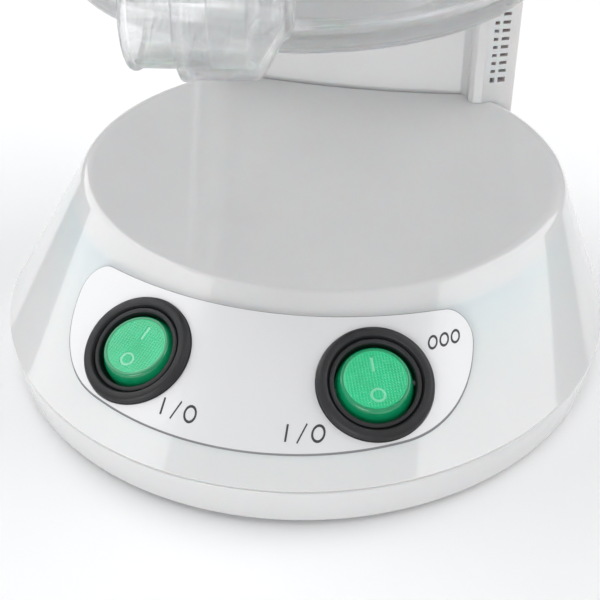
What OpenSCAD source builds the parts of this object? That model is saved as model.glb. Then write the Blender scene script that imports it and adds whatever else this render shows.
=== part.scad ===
// Tabletop facial steamer with an ozone lamp.
// Round console base with two round rocker switches, a flat back column,
// and a head that carries a glass water jar and a swivelling steam spout.
// Origin: centre of the round base, on the table. +Z up, front towards -Y.

/* [Base] */
// Radius of the base at the seam
seam_r = 91; // [88:0.5:94]
// Radius of the base ring at its lower edge
ring_r = 90; // [87:0.5:91]
// Height of the rubber feet below the ring
foot_h = 1.5; // [1:0.25:3]
// Height of the base ring above the feet
ring_h = 11.6; // [10:0.2:14]
// Half width of the top edge
top_a = 77.4; // [74:0.2:80]
// Half depth of the top edge
top_b = 65.9; // [62:0.2:68]
// Distance of the top edge's centre behind the base's centre
top_back = 20.4; // [17:0.2:22]
// Height of the top edge's centre above the table
top_z = 44; // [42:0.5:48]
// Rearward rise of the top edge, in degrees
top_tilt = 4.2; // [2:0.2:6]

/* [Switches] */
// Angle of each switch from the front, in degrees
switch_turn = 22.7; // [20:0.1:26]
// Place of the switches up the slope, from 0 at the seam to 1 at the top edge
switch_up = 0.53; // [0.5:0.01:0.56]
// Outer radius of the black trim ring
trim_r = 15.4; // [14.8:0.1:16]
// Radius of the green lens
lens_r = 9; // [8.6:0.1:9.2]
// Angle that a rocker turns through, from on to off
rocker_throw = 16; // [10:1:16]

/* [Column] */
// Half width of the column
column_w = 56; // [54:0.5:58]
// Depth coordinate of the recessed front panel
panel_y = 71.5; // [71:0.1:72]
// Depth coordinate of the column's back
back_y = 90; // [88:0.5:90]
// Rows of vent slots on each flank
vent_rows = 26; // [10:1:30]
// Height between vent rows
vent_pitch = 2.8; // [2.6:0.1:3.2]

/* [Jar] */
// Outer radius of the jar
jar_r = 63; // [61:0.5:63]
// Distance of the jar's axis behind the base's centre
jar_y = 6.5; // [5:0.5:6.5]
// Height of the jar's underside above the table
jar_z = 111.7; // [110:0.5:116]
// Outer radius of the jar's neck
neck_r = 42.5; // [41:0.5:43]

/* [Spout] */
// Distance of the spout's swivel axis in front of the base's centre
spout_y = 74; // [74:0.5:76]
// Height of the spout barrel's axis
spout_z = 130.8; // [128:0.2:134]
// Outer radius of the barrel
barrel_r = 14.4; // [13.8:0.1:14.4]
// Rest direction of the mouth, counted from +X, in degrees
spout_turn = 188; // [184:1:270]

/* [Head] */
// Height of the head's underside
head_z = 205; // [203:1:210]
// Height of the lower half of the head
head_lower_h = 27; // [25:1:32]
// Height of the domed cover
head_top_h = 26; // [22:1:30]

/* [Hidden] */

$fn = 96;
wall = 2.6;
gap = 0.25;
seam_z = foot_h + ring_h;
rim_round = 4;
rim_drop = 4.4;
dish_r = 60;
dish_depth = 5;

white = "whitesmoke";
black = [0.12, 0.12, 0.13];
green = [0.1, 0.75, 0.45];
clear = [0.85, 0.9, 0.93, 0.4];
steel = "silver";

// ---- sloping wall of the base, ruled between the seam and the top edge ----

function seam_point(t) = [seam_r * sin(t), -seam_r * cos(t), seam_z];
function top_point(t) = [top_a * sin(t),
    top_back - top_b * cos(t) * cos(top_tilt),
    top_z - top_b * cos(t) * sin(top_tilt)];
function slope_point(t, s) = (1 - s) * seam_point(t) + s * top_point(t);
function along(t, s) = slope_point(t + 0.5, s) - slope_point(t - 0.5, s);
function upward(t) = top_point(t) - seam_point(t);
function unit(v) = v / norm(v);

// Thin slice of the base at place s up the slope, inset from the surface
module station(s, inset, h) {
    a = (1 - s) * seam_r + s * top_a - inset;
    b = (1 - s) * seam_r + s * top_b - inset;
    tilt = atan2(s * top_b * sin(top_tilt), (1 - s) * seam_r + s * top_b);
    translate([0, s * top_back, seam_z + s * (top_z - seam_z)])
        rotate([tilt, 0, 0])
            scale([a / b, 1, 1])
                cylinder(r = b, h = h);
}

// Outer form of the base above the seam, grown by a skin thickness
module base_form(grow) {
    b = top_b - 0.5 - rim_round;
    hull() {
        translate([0, 0, seam_z])
            cylinder(r = seam_r + grow, h = 0.6);
        translate([0, top_back, top_z])
            rotate([top_tilt, 0, 0])
                translate([0, 0, -rim_drop])
                    scale([(top_a - 0.5) / (top_b - 0.5), 1, 1])
                        rotate_extrude($fn = 96)
                            translate([b + rim_round, 0])
                                circle(r = rim_round + grow, $fn = 20);
    }
}

// Frame of a switch: +Z out of the slope, +Y up the slope
module at_switch(side) {
    t = side * switch_turn;
    x = unit(along(t, switch_up));
    z = unit(cross(x, unit(upward(t))));
    y = cross(z, x);
    c = slope_point(t, switch_up);
    multmatrix([[x[0], y[0], z[0], c[0]], [x[1], y[1], z[1], c[1]],
        [x[2], y[2], z[2], c[2]], [0, 0, 0, 1]])
        children();
}

// ---- base ----

boss_spots = [for (t = [-118, -58, 58, 118]) [76 * sin(t), -76 * cos(t)]];
foot_spots = [for (t = [0 : 90 : 270]) [80 * sin(t), -80 * cos(t)]];
floor_t = 2.2;
floor_z = foot_h + floor_t;
screw_r = 1.4;
column_cut_z = seam_z - 1;

module base_shell() {
    color(white)
        difference() {
            union() {
                difference() {
                    base_form(0);
                    difference() {
                        hull() {
                            translate([0, 0, -1.1])
                                station(0, wall, 1.1);
                            station(0.85, wall + 0.6, 0.1);
                        }
                        dish_ball(wall + 0.4);
                        for (p = boss_spots)
                            translate([p[0], p[1], 0])
                                cylinder(r = 4, h = 60);
                    }
                }
                for (p = boss_spots)
                    translate([p[0], p[1], floor_z])
                        cylinder(r = 4, h = 14);
            }
            dish_ball(0);
            for (side = [-1, 1])
                at_switch(side) {
                    translate([0, 0, -trim_sink])
                        cylinder(r = trim_r + gap, h = 12);
                    translate([0, 0, -30])
                        cylinder(r = housing_r + gap, h = 40);
                }
            translate([0, 0, column_cut_z])
                linear_extrude(60) {
                    column_outline(gap);
                    translate([-column_corner[0] - gap, column_corner[1]])
                        square([2 * (column_corner[0] + gap), 40]);
                }
            for (p = boss_spots)
                translate([p[0], p[1], 0])
                    cylinder(r = screw_r, h = seam_z + 3);
        }
}
dish_sphere_r = (dish_r * dish_r + dish_depth * dish_depth) / (2 * dish_depth);

// Large ball that hollows the top into a shallow dish
module dish_ball(grow) {
    translate([0, top_back, top_z])
        rotate([top_tilt, 0, 0])
            translate([0, 0, dish_sphere_r - dish_depth - 0.4])
                scale([(top_a - 0.5) / (top_b - 0.5), 1, 1])
                    sphere(r = dish_sphere_r + grow, $fn = 180);
}

module base_plate() {
    color(white)
        difference() {
            union() {
                rotate_extrude()
                    polygon([[0, foot_h], [ring_r - 1.2, foot_h], [ring_r, foot_h + 1.2],
                        [seam_r, seam_z - 0.6], [seam_r - 0.5, seam_z], [seam_r - wall, seam_z],
                        [seam_r - wall - 0.4, floor_z], [0, floor_z]]);
                for (p = board_posts)
                    translate([p[0], p[1], floor_z])
                        cylinder(r = 3, h = board_z - floor_z);
            }
            for (p = boss_spots)
                translate([p[0], p[1], 0]) {
                    cylinder(r = screw_r, h = 20);
                    cylinder(r = 3.2, h = foot_h + 1.4);
                }
        }
}

module rubber_feet() {
    color(black)
        for (p = foot_spots)
            translate([p[0], p[1], 0])
                rotate_extrude()
                    polygon([[0, 0], [5.6, 0], [6.4, 0.5], [6.4, foot_h], [0, foot_h]]);
}

// A screw seen from its head: the shank runs upwards
module screw(head_r, head_h, length) {
    difference() {
        union() {
            cylinder(r = head_r, h = head_h);
            cylinder(r = screw_r, h = length);
        }
        for (turn = [0, 90])
            rotate([0, 0, turn])
                translate([-1.6, -0.35, -1])
                    cube([3.2, 0.7, 1.7]);
    }
}

module base_screws() {
    color(steel)
        for (p = boss_spots)
            translate([p[0], p[1], foot_h + 0.2])
                screw(3, 1.2, 12);
}

// Crescent of the control panel seen from above
panel_outer_r = 83;
panel_inner_r = 101;
panel_inner_y = 51.3;
panel_end_r = 28;
panel_end_turn = 30.5;
panel_corner_r = 6;
panel_t = 0.6;

module panel_crescent() {
    offset(r = panel_corner_r)
        offset(delta = -panel_corner_r)
            difference() {
                hull()
                    for (i = [-6 : 6])
                        rotate([0, 0, panel_end_turn * i / 6])
                            translate([0, panel_end_r - panel_outer_r])
                                circle(r = panel_end_r);
                translate([0, panel_inner_y])
                    circle(r = panel_inner_r);
            }
}

module control_panel() {
    color([0.93, 0.93, 0.94])
        difference() {
            intersection() {
                base_form(panel_t);
                linear_extrude(60)
                    panel_crescent();
            }
            base_form(0);
            for (side = [-1, 1])
                at_switch(side)
                    translate([0, 0, -5])
                        cylinder(r = trim_r + gap, h = 20);
        }
}

// ---- switches ----

trim_sink = 1.4;
trim_top = 2.3;
lip_r = 12.1;
lip_top = 1.5;
seat_r = 13.2;
seat_top = -0.4;
housing_r = 11.9;
bore_r = 10.7;
housing_depth = 16;
pivot_z = -3;
pin_r = 1.2;
ball_r = 10.35;
lens_up = sqrt(ball_r * ball_r - lens_r * lens_r);
rocker_low = 4;
rest_tilt = rocker_throw / 2;

module trim_ring() {
    color(black)
        rotate_extrude()
            union() {
                polygon([[seat_r + 0.1, -trim_sink], [trim_r, -trim_sink], [trim_r, trim_top - 1.6],
                    [trim_r - 0.5, trim_top - 0.5], [trim_r - 1.6, trim_top],
                    [lip_r + 1.1, trim_top], [lip_r + 0.3, trim_top - 0.3],
                    [lip_r + 0.1, trim_top - 1], [lip_r + 0.1, seat_top], [seat_r + 0.1, seat_top]]);
            }
}

module switch_housing() {
    color(black)
        difference() {
            union() {
                translate([0, 0, -housing_depth])
                    cylinder(r = housing_r, h = housing_depth - 1);
                translate([0, 0, -trim_sink])
                    rotate_extrude()
                        polygon([[0, 0], [seat_r, 0], [seat_r, trim_sink + seat_top],
                            [lip_r, trim_sink + seat_top], [lip_r, trim_sink + lip_top - 0.4],
                            [lip_r - 0.4, trim_sink + lip_top], [0, trim_sink + lip_top]]);
            }
            translate([0, 0, -housing_depth + 1.5])
                cylinder(r = bore_r, h = 40);
            translate([-20, 0, pivot_z])
                rotate([0, 90, 0])
                    cylinder(r = pin_r, h = 40);
            for (x = [-5, 0, 5])
                translate([x - 0.4, -2.4, -housing_depth - 1])
                    cube([0.8, 4.8, 4]);
        }
}

// The rocker is a ball cut flat above and below its pivot, so it clears its bore
module rocker() {
    color(green)
        translate([0, 0, pivot_z])
            rotate([-rest_tilt, 0, 0])
                difference() {
                    intersection() {
                        sphere(r = ball_r);
                        translate([0, 0, -rocker_low])
                            cylinder(r = ball_r + 1, h = rocker_low + lens_up);
                    }
                    translate([-20, 0, 0])
                        rotate([0, 90, 0])
                            cylinder(r = pin_r + 0.05, h = 40);
                    translate([0, -2.2, lens_up - 0.3])
                        difference() {
                            translate([0, -2.8, 0])
                                cylinder(r = 2, h = 1);
                            translate([0, -2.8, -1])
                                cylinder(r = 1.4, h = 3);
                        }
                    translate([-0.3, 2.4, lens_up - 0.3])
                        cube([0.6, 4, 1]);
                }
}

module pivot_pin() {
    color(steel)
        translate([-housing_r + 0.2, 0, pivot_z])
            rotate([0, 90, 0])
                cylinder(r = pin_r, h = 2 * housing_r - 0.4);
}

module switch_lamp() {
    color("orange")
        translate([-4.6, 0, -12.2])
            rotate([0, 90, 0])
                cylinder(r = 1.7, h = 9.2);
}

module switch_terminals() {
    color("goldenrod")
        for (x = [-5, 0, 5])
            translate([x - 0.4, -2.4, -housing_depth - 5.5])
                cube([0.8, 4.8, x == 0 ? 7.2 : 10.5]);
}

// ---- electrics in the base ----

board_z = 9;
board_posts = [for (x = [-30, 30], y = [-12, 28]) [x, y]];

module circuit_board() {
    color("darkgreen")
        difference() {
            translate([-35, -17, board_z])
                cube([70, 50, 1.6]);
            for (p = board_posts)
                translate([p[0], p[1], 0])
                    cylinder(r = 1.6, h = 30);
        }
}

module ozone_transformer() {
    color("dimgray") {
        translate([-24, 4, board_z + 1.6])
            cube([24, 20, 14]);
        translate([-20, 1, board_z + 1.6])
            cube([16, 3, 10]);
    }
}

module heater_relay() {
    color("royalblue")
        translate([8, 6, board_z + 1.6])
            cube([18, 14, 13]);
}

module fuse() {
    color("wheat")
        translate([4, -8, board_z + 1.6 + 2.6])
            rotate([0, 90, 0])
                cylinder(r = 2.6, h = 20);
}

// ---- column ----

rear_arc_r = back_y;
split_y = 76;
flank_turn = 24.4;
flank_start = [47, 65.9];
column_corner = [column_w, sqrt(rear_arc_r * rear_arc_r - column_w * column_w)];
rear_turn = asin(column_w / rear_arc_r);
skin = 2.4;
vent_z = 53.8;

// Points of the rear arc at radius r, from one side's angle to the other's
function rear_arc(r, turn) = [for (i = [0 : 16]) let(a = turn * (1 - i / 8)) [r * sin(a), r * cos(a)]];
function mirrored(p) = [for (i = [len(p) - 1 : -1 : 0]) if (p[i][0] > 0.01) [-p[i][0], p[i][1]]];

// Right half of the column's front, from its middle to the flank, grown by g
function front_half(g) = [[0, panel_y - g], [37.5, panel_y - g], [40.2, panel_y - 1.7 - g],
    [41.5 - g, panel_y - 4.2], [42.3 - g, 66.4 - g], [43.6, 65.7 - g], [46, 65.6 - g],
    [flank_start[0] + g, flank_start[1] - g], [column_w - 1 + g, 69.5 - g]];
cavity_half = [[0, panel_y + skin], [40.5, panel_y + skin], [44, 69], [46, 68.3], [51.7, 70.7]];

module column_outline(g) {
    half = front_half(g);
    polygon(concat(mirrored(half), half, rear_arc(rear_arc_r + g, rear_turn)));
}

module column_cavity() {
    polygon(concat(mirrored(cavity_half), cavity_half,
        rear_arc(rear_arc_r - skin, rear_turn - 2.5)));
}

module column_walls() {
    difference() {
        translate([0, 0, seam_z])
            linear_extrude(head_z - seam_z)
                column_outline(0);
        translate([0, 0, seam_z - 1])
            linear_extrude(head_z - seam_z + 2)
                column_cavity();
    }
}

module vent_slots() {
    for (row = [0 : vent_rows - 1])
        translate([flank_start[0], flank_start[1], vent_z + row * vent_pitch])
            rotate([0, 0, flank_turn]) {
                h = row == 0 ? 1.8 : 1.1;
                translate([1.2, -2, 1.8 - h])
                    cube([1.6, 7, h]);
                translate([3.9, -2, 1.8 - h])
                    cube([2.6, 7, h]);
            }
}

module column_front() {
    color(white)
        difference() {
            union() {
                difference() {
                    column_walls();
                    translate([-70, split_y, 0])
                        cube([140, 40, 300]);
                }
                for (x = [-30, 30], z = column_screw_z)
                    translate([x, panel_y + skin - 0.5, z])
                        rotate([-90, 0, 0])
                            cylinder(r = 3.4, h = boss_y - panel_y - skin + 0.5);
            }
            for (x = [-30, 30], z = column_screw_z)
                translate([x, boss_y - 4.5, z])
                    rotate([-90, 0, 0])
                        cylinder(r = screw_r, h = 10);
            for (side = [0, 1])
                mirror([side, 0, 0])
                    vent_slots();
        }
}

column_screw_z = [70, 130, 185];
boss_y = 79;
screw_seat_y = 81;

module column_back() {
    color(white)
        difference() {
            union() {
                difference() {
                    column_walls();
                    translate([-70, split_y - 40, 0])
                        cube([140, 40, 300]);
                }
                for (x = [-30, 30], z = column_screw_z)
                    translate([x, boss_y + 0.1, z])
                        rotate([-90, 0, 0])
                            cylinder(r = 4.5, h = 4);
            }
            for (x = [-30, 30], z = column_screw_z)
                translate([x, boss_y, z])
                    rotate([-90, 0, 0]) {
                        cylinder(r = screw_r, h = 10);
                        translate([0, 0, screw_seat_y - boss_y])
                            cylinder(r = 3.2, h = 20);
                    }
            translate([-inlet_w / 2 - 2.05, inlet_flange_y, inlet_z - inlet_h / 2 - 2.05])
                cube([inlet_w + 4.1, 10, inlet_h + 4.1]);
            translate([-inlet_w / 2 - 0.05, split_y - 5, inlet_z - inlet_h / 2 - 0.05])
                cube([inlet_w + 0.1, 30, inlet_h + 0.1]);
        }
}

module column_screws() {
    color(steel)
        for (x = [-30, 30], z = column_screw_z)
            translate([x, screw_seat_y + 1.3, z])
                rotate([90, 0, 0])
                    screw(3, 1.3, 7);
}

wire_x = 20;
wire_y = 79;
wire_r = 2.5;
wire_low_z = 10;
lead_r = 1;
lead_y = 75.2;

// Wires from the board up the column to the head, and from the inlet to the board
module wire_harness() {
    color(black) {
        wire_high_z = plate_z + plate_t + wire_r;
        translate([wire_x, 33, wire_low_z])
            rotate([-90, 0, 0])
                cylinder(r = wire_r, h = wire_y - 33);
        translate([wire_x, wire_y, wire_low_z])
            sphere(r = wire_r);
        translate([wire_x, wire_y, wire_low_z])
            cylinder(r = wire_r, h = wire_high_z - wire_low_z);
        translate([wire_x, wire_y, wire_high_z])
            sphere(r = wire_r);
        translate([wire_x, wire_y, wire_high_z])
            rotate([90, 0, 0])
                cylinder(r = wire_r, h = wire_y - 46);
        for (x = [-7, 7]) {
            translate([x, 33, wire_low_z])
                rotate([-90, 0, 0])
                    cylinder(r = lead_r, h = lead_y - 33);
            translate([x, lead_y, wire_low_z])
                sphere(r = lead_r);
            translate([x, lead_y, wire_low_z])
                cylinder(r = lead_r, h = inlet_z - 4 - wire_low_z);
        }
    }
}

inlet_w = 28;
inlet_h = 20;
inlet_z = 31;
inlet_flange_y = 88.6;
inlet_face_y = 91;
cavity_depth = 15;

module power_inlet() {
    color(black)
        difference() {
            union() {
                translate([-inlet_w / 2, split_y + 0.5, inlet_z - inlet_h / 2])
                    cube([inlet_w, inlet_face_y - split_y - 0.6, inlet_h]);
                translate([-inlet_w / 2 - 2, inlet_flange_y, inlet_z - inlet_h / 2 - 2])
                    cube([inlet_w + 4, inlet_face_y - inlet_flange_y, inlet_h + 4]);
            }
            translate([0, inlet_face_y - cavity_depth + 2, inlet_z])
                rotate([-90, 0, 0])
                    linear_extrude(30)
                        polygon([[-12, -8], [12, -8], [12, 4], [8, 8], [-8, 8], [-12, 4]]);
            for (p = inlet_pin_spots)
                translate([p[0] - 1, split_y, inlet_z + p[1] - 2])
                    cube([2, 5, 4]);
        }
}
inlet_pin_spots = [[-7, -2], [0, 2.5], [7, -2]];

module inlet_pins() {
    color(steel)
        for (p = inlet_pin_spots)
            translate([p[0] - 1, split_y - 1.5, inlet_z + p[1] - 2])
                cube([2, 11, 4]);
}

// ---- head ----

head_half_w = 70;
head_half_l = 90;
head_mid_y = -1;
head_floor = 3;
head_split = head_z + head_lower_h;
neck_hole_r = neck_r + 0.7;
plate_z = head_z + 9.5;
socket_bore_z = head_z + 3;
socket_top = head_z + 12;

function bend(v) = sign(v) * pow(abs(v), 2 / 3);

// Plan of the head: a rounded oblong that narrows a little towards the spout
module head_plan(inset) {
    polygon([for (a = [2.5 : 5 : 357.5]) [
        (head_half_w - inset) * bend(cos(a)) * (1 + 0.08 * sin(a)),
        head_mid_y + (head_half_l - inset) * bend(sin(a))]]);
}

head_screw_spots = [[-59, -22], [59, -22], [-54, 60], [54, 60]];
head_screw_z = head_z + 1.5;

module head_lower() {
    color(white)
        difference() {
            union() {
                difference() {
                    hull() {
                        translate([0, 0, head_z + 6])
                            linear_extrude(head_lower_h - 6)
                                head_plan(0);
                        translate([0, 0, head_z])
                            linear_extrude(1)
                                head_plan(4);
                    }
                    translate([0, 0, head_z + head_floor])
                        linear_extrude(40)
                            head_plan(6.5);
                    translate([0, 0, head_z + 9])
                        linear_extrude(40)
                            head_plan(3);
                }
                translate([0, jar_y, head_z + 1])
                    cylinder(r = 51, h = plate_z - head_z - 1);
                translate([0, -spout_y, head_z - 5])
                    cylinder(r = 12, h = socket_top - head_z + 5);
                for (p = head_screw_spots)
                    translate([p[0], p[1], head_z + 1])
                        cylinder(r = 4, h = head_lower_h - 1);
            }
            translate([0, jar_y, head_z - 10])
                cylinder(r = neck_hole_r, h = 60);
            translate([0, -spout_y, head_z - 10]) {
                cylinder(r = riser_r + 0.08, h = 60);
                translate([0, 0, socket_bore_z - head_z + 10])
                    cylinder(r = 9, h = 60);
            }
            for (p = head_screw_spots)
                translate([p[0], p[1], head_z - 1]) {
                    cylinder(r = screw_r, h = 60);
                    cylinder(r = 3.2, h = 1 + 1.5 + 1.3);
                }
            translate([wire_x, wire_y, head_z - 1])
                cylinder(r = wire_r + 0.5, h = 10);
        }
}

module head_top() {
    color(white)
        difference() {
            hull() {
                translate([0, 0, head_split])
                    linear_extrude(6)
                        head_plan(0);
                translate([0, 0, head_split + 12])
                    linear_extrude(1)
                        head_plan(2.2);
                translate([0, 0, head_split + 18])
                    linear_extrude(1)
                        head_plan(7);
                translate([0, 0, head_split + 22.5])
                    linear_extrude(1)
                        head_plan(14);
                translate([0, 0, head_split + head_top_h - 1])
                    linear_extrude(1)
                        head_plan(26);
            }
            difference() {
                translate([0, 0, head_split - 1])
                    hull() {
                        linear_extrude(9)
                            head_plan(3);
                        linear_extrude(head_top_h - 5)
                            head_plan(17);
                    }
                for (p = head_screw_spots)
                    translate([p[0], p[1], 0])
                        cylinder(r = 4, h = 300);
            }
            for (p = head_screw_spots)
                translate([p[0], p[1], head_split - 1])
                    cylinder(r = screw_r, h = 10);
        }
}

module head_screws() {
    color(steel)
        for (p = head_screw_spots)
            translate([p[0], p[1], head_screw_z])
                screw(3, 1.3, head_split + 8 - head_screw_z);
}

// ---- jar and its bayonet collar ----

collar_h = 9;
collar_z = head_z - collar_h;
lug_r = neck_r + 2;
lug_turn = 14;
jar_wall = 3;
jar_floor = 4;
jar_side_top = 172;
shoulder_top = collar_z - 1;
neck_top = head_z + 6.5;

module jar_collar() {
    color(white)
        translate([0, jar_y, collar_z])
            difference() {
                rotate_extrude()
                    polygon([[40, 0], [51, 0], [52, 1], [52, collar_h], [40, collar_h]]);
                translate([0, 0, -1])
                    cylinder(r = neck_hole_r, h = 30);
                translate([0, 0, 2])
                    cylinder(r = lug_r + 0.5, h = 4.6);
                for (turn = [0 : 120 : 240])
                    rotate([0, 0, turn + 45])
                        translate([0, 0, -1])
                            rotate_extrude(angle = lug_turn + 3)
                                translate([30, 0])
                                    square([lug_r + 0.5 - 30, 5]);
            }
}

function arc(cx, cy, r, from, to, n) = [for (i = [0 : n])
    [cx + r * cos(from + (to - from) * i / n), cy + r * sin(from + (to - from) * i / n)]];

shoulder_h = shoulder_top - jar_side_top;
shoulder_run = jar_r - neck_r;
outer_shoulder = [for (i = [0 : 12]) [neck_r + shoulder_run * (1 + cos(i * 15)) / 2,
    jar_side_top + shoulder_h * i / 12]];
inner_shoulder = [for (i = [12 : -1 : 0]) [neck_r - jar_wall + shoulder_run * (1 + cos(i * 15)) / 2,
    jar_side_top - 2 + shoulder_h * i / 12]];

module glass_jar() {
    color(clear)
        translate([0, jar_y, 0]) {
            rotate_extrude()
                polygon(concat([[0, jar_z]],
                    arc(jar_r - 5, jar_z + 5, 5, -90, 0, 8),
                    outer_shoulder,
                    [[neck_r, neck_top - 1], [neck_r - 0.8, neck_top], [neck_r - jar_wall, neck_top]],
                    inner_shoulder,
                    arc(jar_r - jar_wall - 6, jar_z + jar_floor + 6, 6, 0, -90, 8),
                    [[0, jar_z + jar_floor]]));
            for (turn = [0 : 120 : 240])
                rotate([0, 0, turn])
                    translate([0, 0, collar_z + 2.6])
                        rotate_extrude(angle = lug_turn)
                            translate([neck_r - 1, 0])
                                square([lug_r - neck_r + 1, 3]);
        }
}

module jar_gasket() {
    color("gainsboro")
        translate([0, jar_y, neck_top + 0.3])
            difference() {
                cylinder(r = neck_r, h = plate_z - neck_top - 0.3);
                translate([0, 0, -1])
                    cylinder(r = neck_r - 4, h = 10);
            }
}

// ---- boiler plate and what hangs from it ----

coil_r = 16;
coil_wire_r = 3;
coil_levels = [136, 143.5, 151];
steam_hole = [0, -20];
probe_spots = [[-9, 32], [9, 32]];
plate_t = 3;

module heater_plate() {
    color(steel)
        difference() {
            translate([0, jar_y, plate_z])
                cylinder(r = 50, h = plate_t);
            translate([steam_hole[0], steam_hole[1], plate_z - 1])
                cylinder(r = 6, h = 10);
            for (x = [-coil_r, coil_r])
                translate([x, jar_y, plate_z - 1])
                    cylinder(r = coil_wire_r, h = 10);
            for (p = probe_spots)
                translate([p[0], p[1], plate_z - 1])
                    cylinder(r = 1.5, h = 10);
        }
}

module heater_coil() {
    color("gray")
        translate([0, jar_y, 0]) {
            for (z = coil_levels)
                translate([0, 0, z])
                    rotate_extrude()
                        translate([coil_r, 0])
                            circle(r = coil_wire_r, $fn = 32);
            for (x = [-coil_r, coil_r])
                translate([x, 0, coil_levels[0]])
                    cylinder(r = coil_wire_r, h = plate_z + 8 - coil_levels[0]);
        }
}

module level_probes() {
    color(steel)
        for (p = probe_spots)
            translate([p[0], p[1], 140])
                cylinder(r = 1.5, h = plate_z + 7 - 140);
}

module thermostat() {
    color("tan")
        translate([0, jar_y, plate_z + plate_t]) {
            cylinder(r = 8, h = 4);
            cylinder(r = 6.5, h = 9);
        }
}

// ---- steam duct and ozone lamp inside the head ----

duct_r = 8;
duct_bore = 6;
duct_z = head_z + 24;
duct_start_z = plate_z + plate_t;
duct_end_z = socket_top;
lamp_r = 3;

// The bent run of the duct at radius r
module duct_run(r, extra) {
    translate([steam_hole[0], steam_hole[1], duct_start_z - extra])
        cylinder(r = r, h = duct_z - duct_start_z + extra);
    translate([0, steam_hole[1], duct_z])
        sphere(r = r);
    translate([0, -spout_y, duct_z])
        rotate([-90, 0, 0])
            cylinder(r = r, h = spout_y + steam_hole[1]);
    translate([0, -spout_y, duct_z])
        sphere(r = r);
    translate([0, -spout_y, duct_end_z - extra])
        cylinder(r = r, h = duct_z - duct_end_z + extra);
}

module steam_duct() {
    color("ivory")
        difference() {
            union() {
                duct_run(duct_r, 0);
                translate([0, -spout_y, duct_end_z])
                    cylinder(r = 11.5, h = 2);
            }
            duct_run(duct_bore, 1);
            translate([0, -42, duct_z])
                rotate([0, 90, 0])
                    cylinder(r = lamp_r, h = 20);
        }
}

module ozone_lamp() {
    color("lavender")
        translate([-1, -42, duct_z]) {
            rotate([0, 90, 0])
                cylinder(r = lamp_r, h = 42);
            sphere(r = lamp_r);
        }
}

module lamp_holder() {
    color("white")
        difference() {
            translate([36, -47, head_z + head_floor])
                cube([7, 10, duct_z + 5 - head_z - head_floor]);
            translate([0, -42, duct_z])
                rotate([0, 90, 0])
                    cylinder(r = lamp_r, h = 41);
        }
}

// ---- spout: turns on its riser in the head's socket ----

riser_r = 6.5;
riser_bore = 5;
riser_top = head_z + 7;
barrel_end = 6.5;
mouth_end = 16.9;
mouth_r = 12.4;
mouth_bore = 10.8;

module at_spout() {
    translate([0, -spout_y, spout_z])
        rotate([0, 0, spout_turn])
            children();
}

// Turned shape about the barrel's own axis, from [place along the axis, radius] points
module turned(points) {
    rotate([90, 0, 90])
        rotate_extrude()
            polygon([for (p = points) [p[1], p[0]]]);
}

module spout_body() {
    color(clear)
        difference() {
            union() {
                at_spout()
                    turned([[-15.3, 0], [-15.3, 4.6], [-14.4, 5.8], [-9.2, barrel_r - 0.9],
                        [-8, barrel_r], [barrel_end - 2.2, barrel_r],
                        [barrel_end - 2, barrel_r + 0.5], [barrel_end - 0.4, barrel_r + 0.5],
                        [barrel_end, barrel_r], [barrel_end, 0]]);
                translate([0, -spout_y, spout_z + 4])
                    cylinder(r = riser_r, h = riser_top - spout_z - 4);
                translate([0, -spout_y, head_z + 3.1])
                    cylinder(r = 8.6, h = 2);
            }
            at_spout()
                turned([[-13, 0], [-13, 4.2], [-7.6, barrel_r - 2.2], [0, barrel_r - 2.2],
                    [0, mouth_r], [barrel_end + 1, mouth_r], [barrel_end + 1, 0]]);
            translate([0, -spout_y, spout_z])
                cylinder(r = riser_bore, h = 100);
        }
}

module spout_mouth() {
    color(clear)
        at_spout()
            turned([[0, mouth_bore], [0, mouth_r], [mouth_end - 1.6, mouth_r],
                [mouth_end - 1.2, mouth_r + 0.5], [mouth_end - 0.3, mouth_r + 0.5],
                [mouth_end, mouth_r], [mouth_end, mouth_bore]]);
}

module spout_seal() {
    color("gainsboro")
        translate([0, -spout_y, head_z + 5.6])
            difference() {
                cylinder(r = 9, h = 1.6);
                translate([0, 0, -1])
                    cylinder(r = riser_r + 0.1, h = 5);
            }
}

base_shell();
base_plate();
rubber_feet();
base_screws();
control_panel();
at_switch(-1) trim_ring();  // left_trim_ring
at_switch(1) trim_ring();  // right_trim_ring
at_switch(-1) switch_housing();  // left_switch_housing
at_switch(1) switch_housing();  // right_switch_housing
at_switch(-1) rocker();  // left_rocker
at_switch(1) rocker();  // right_rocker
at_switch(-1) pivot_pin();  // left_pivot_pin
at_switch(1) pivot_pin();  // right_pivot_pin
at_switch(-1) switch_lamp();  // left_lamp
at_switch(1) switch_lamp();  // right_lamp
at_switch(-1) switch_terminals();  // left_terminals
at_switch(1) switch_terminals();  // right_terminals
circuit_board();
ozone_transformer();
heater_relay();
fuse();
column_front();
column_back();
column_screws();
wire_harness();
power_inlet();
inlet_pins();
head_lower();
head_top();
head_screws();
jar_collar();
jar_gasket();
heater_plate();
heater_coil();
level_probes();
thermostat();
steam_duct();
ozone_lamp();
lamp_holder();
glass_jar();
spout_body();
spout_mouth();
spout_seal();
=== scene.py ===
import math
import bpy
import bmesh
from mathutils import Matrix, Vector


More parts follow.
